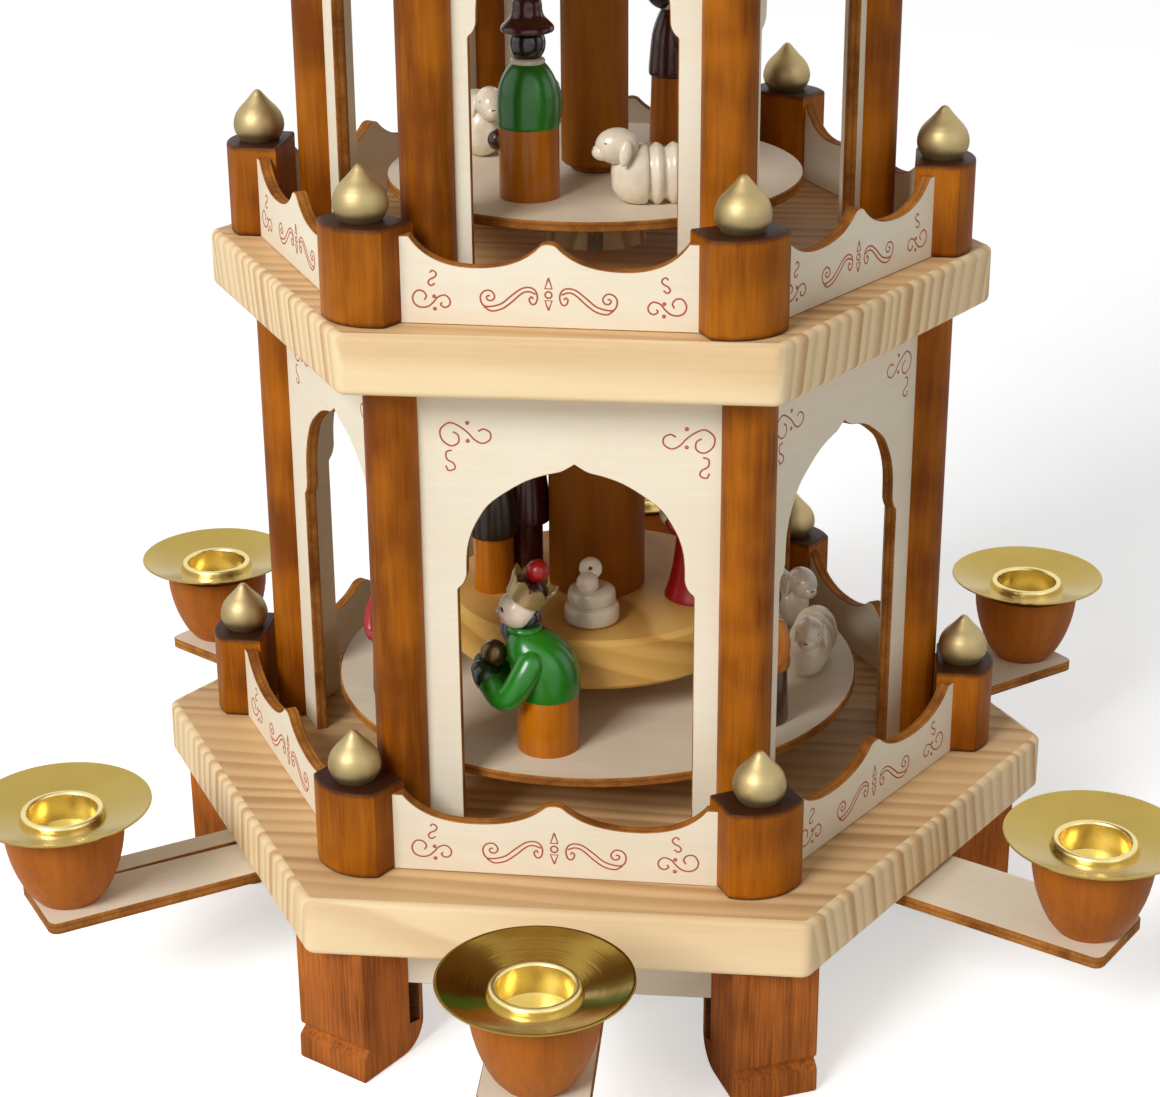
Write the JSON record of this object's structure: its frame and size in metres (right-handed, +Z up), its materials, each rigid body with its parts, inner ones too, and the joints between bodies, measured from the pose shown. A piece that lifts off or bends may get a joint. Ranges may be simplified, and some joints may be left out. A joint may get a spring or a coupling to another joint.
{
  "type": "christmas pyramid",
  "caption": "Six-sided wooden Christmas pyramid: arcaded storeys with turning figures, galleries with finials, candle arms with brass dishes, and a paddle wheel on a spindle.",
  "frame": {"origin": "centre of the surface that the six feet stand on", "axes": "+Z up along the spindle, -Y towards the front edge, between two front corners; a corner lies on +X"},
  "size_m": [0.346, 0.346, 0.4396],
  "materials": {
    "pine": "satin clear-coated pine",
    "stained_wood": "honey-brown stained wood",
    "white_ply": "pale birch plywood with burnt edges",
    "limewood": "plain limewood",
    "brass": "satin turned brass",
    "steel": "ground steel rod",
    "paint_green": "gloss paint on turned wood",
    "paint_cream": "gloss paint on turned wood",
    "paint_maroon": "gloss paint on turned wood",
    "paint_red": "gloss paint on turned wood"
  },
  "bodies": {
    "frame": {"base_plate": "pine", "middle_plate": "pine", "upper_plate": "pine", "roof_plate": "pine", "apron_frame": "white_ply", "leg_1": "stained_wood", "leg_2": "stained_wood", "leg_3": "stained_wood", "leg_4": "stained_wood", "leg_5": "stained_wood", "leg_6": "stained_wood", "arcade_lower": "white_ply", "gallery_lower": "white_ply", "arcade_middle": "white_ply", "gallery_middle": "white_ply", "arcade_upper": "white_ply", "gallery_upper": "white_ply", "bearing_cup": "brass", "top_bush": "brass"},
    "wheel": {"spindle": "steel", "turntable_lower": "white_ply", "turntable_middle": "white_ply", "turntable_upper": "white_ply", "dais": "pine", "drum_lower": "stained_wood", "drum_middle": "stained_wood", "drum_upper": "stained_wood", "figure_king": "paint_green", "figure_crib": "paint_cream", "figure_cloaked": "paint_maroon", "figure_red_gown": "paint_red", "figure_shepherd": "paint_green", "figure_sheep": "paint_cream", "rotor_hub": "stained_wood"},
    "paddle_1": {"blade_1": "limewood"},
    "paddle_2": {"blade_2": "limewood"},
    "paddle_3": {"blade_3": "limewood"},
    "paddle_4": {"blade_4": "limewood"},
    "paddle_5": {"blade_5": "limewood"},
    "paddle_6": {"blade_6": "limewood"},
    "paddle_7": {"blade_7": "limewood"},
    "paddle_8": {"blade_8": "limewood"},
    "arm_1": {"candle_arm_1": "white_ply", "candle_cup_1": "stained_wood", "drip_dish_1": "brass"},
    "arm_2": {"candle_arm_2": "white_ply", "candle_cup_2": "stained_wood", "drip_dish_2": "brass"},
    "arm_3": {"candle_arm_3": "white_ply", "candle_cup_3": "stained_wood", "drip_dish_3": "brass"},
    "arm_4": {"candle_arm_4": "white_ply", "candle_cup_4": "stained_wood", "drip_dish_4": "brass"},
    "arm_5": {"candle_arm_5": "white_ply", "candle_cup_5": "stained_wood", "drip_dish_5": "brass"},
    "arm_6": {"candle_arm_6": "white_ply", "candle_cup_6": "stained_wood", "drip_dish_6": "brass"}
  },
  "joints": [
    {"name": "spindle_spin", "type": "hinge", "parent": "frame", "child": "wheel", "pos_m": [0, 0, 0.1], "axis": [0, 0, 1], "continuous": true},
    {"name": "paddle_1_pitch", "type": "hinge", "parent": "wheel", "child": "paddle_1", "pos_m": [0.02, 0, 0.4247], "axis": [1, 0, 0], "range_deg": [-115, 65]},
    {"name": "paddle_2_pitch", "type": "hinge", "parent": "wheel", "child": "paddle_2", "pos_m": [0.01414, 0.01414, 0.4247], "axis": [0.7071, 0.7071, 0], "range_deg": [-115, 65]},
    {"name": "paddle_3_pitch", "type": "hinge", "parent": "wheel", "child": "paddle_3", "pos_m": [0, 0.02, 0.4247], "axis": [0, 1, 0], "range_deg": [-115, 65]},
    {"name": "paddle_4_pitch", "type": "hinge", "parent": "wheel", "child": "paddle_4", "pos_m": [-0.01414, 0.01414, 0.4247], "axis": [-0.7071, 0.7071, 0], "range_deg": [-115, 65]},
    {"name": "paddle_5_pitch", "type": "hinge", "parent": "wheel", "child": "paddle_5", "pos_m": [-0.02, 0, 0.4247], "axis": [-1, 0, 0], "range_deg": [-115, 65]},
    {"name": "paddle_6_pitch", "type": "hinge", "parent": "wheel", "child": "paddle_6", "pos_m": [-0.01414, -0.01414, 0.4247], "axis": [-0.7071, -0.7071, 0], "range_deg": [-115, 65]},
    {"name": "paddle_7_pitch", "type": "hinge", "parent": "wheel", "child": "paddle_7", "pos_m": [0, -0.02, 0.4247], "axis": [0, -1, 0], "range_deg": [-115, 65]},
    {"name": "paddle_8_pitch", "type": "hinge", "parent": "wheel", "child": "paddle_8", "pos_m": [0.01414, -0.01414, 0.4247], "axis": [0.7071, -0.7071, 0], "range_deg": [-115, 65]},
    {"name": "arm_1_slide", "type": "slide", "parent": "frame", "child": "arm_1", "axis": [0.7705, 0.6374, 0], "range_m": [0, 0.035]},
    {"name": "arm_2_slide", "type": "slide", "parent": "frame", "child": "arm_2", "axis": [0, 1, 0], "range_m": [0, 0.035]},
    {"name": "arm_3_slide", "type": "slide", "parent": "frame", "child": "arm_3", "axis": [-0.8261, 0.5635, 0], "range_m": [0, 0.035]},
    {"name": "arm_4_slide", "type": "slide", "parent": "frame", "child": "arm_4", "axis": [-0.8241, -0.5664, 0], "range_m": [0, 0.035]},
    {"name": "arm_5_slide", "type": "slide", "parent": "frame", "child": "arm_5", "axis": [0.0122, -0.9999, 0], "range_m": [0, 0.035]},
    {"name": "arm_6_slide", "type": "slide", "parent": "frame", "child": "arm_6", "axis": [0.8721, -0.4894, 0], "range_m": [0, 0.035]}
  ]
}
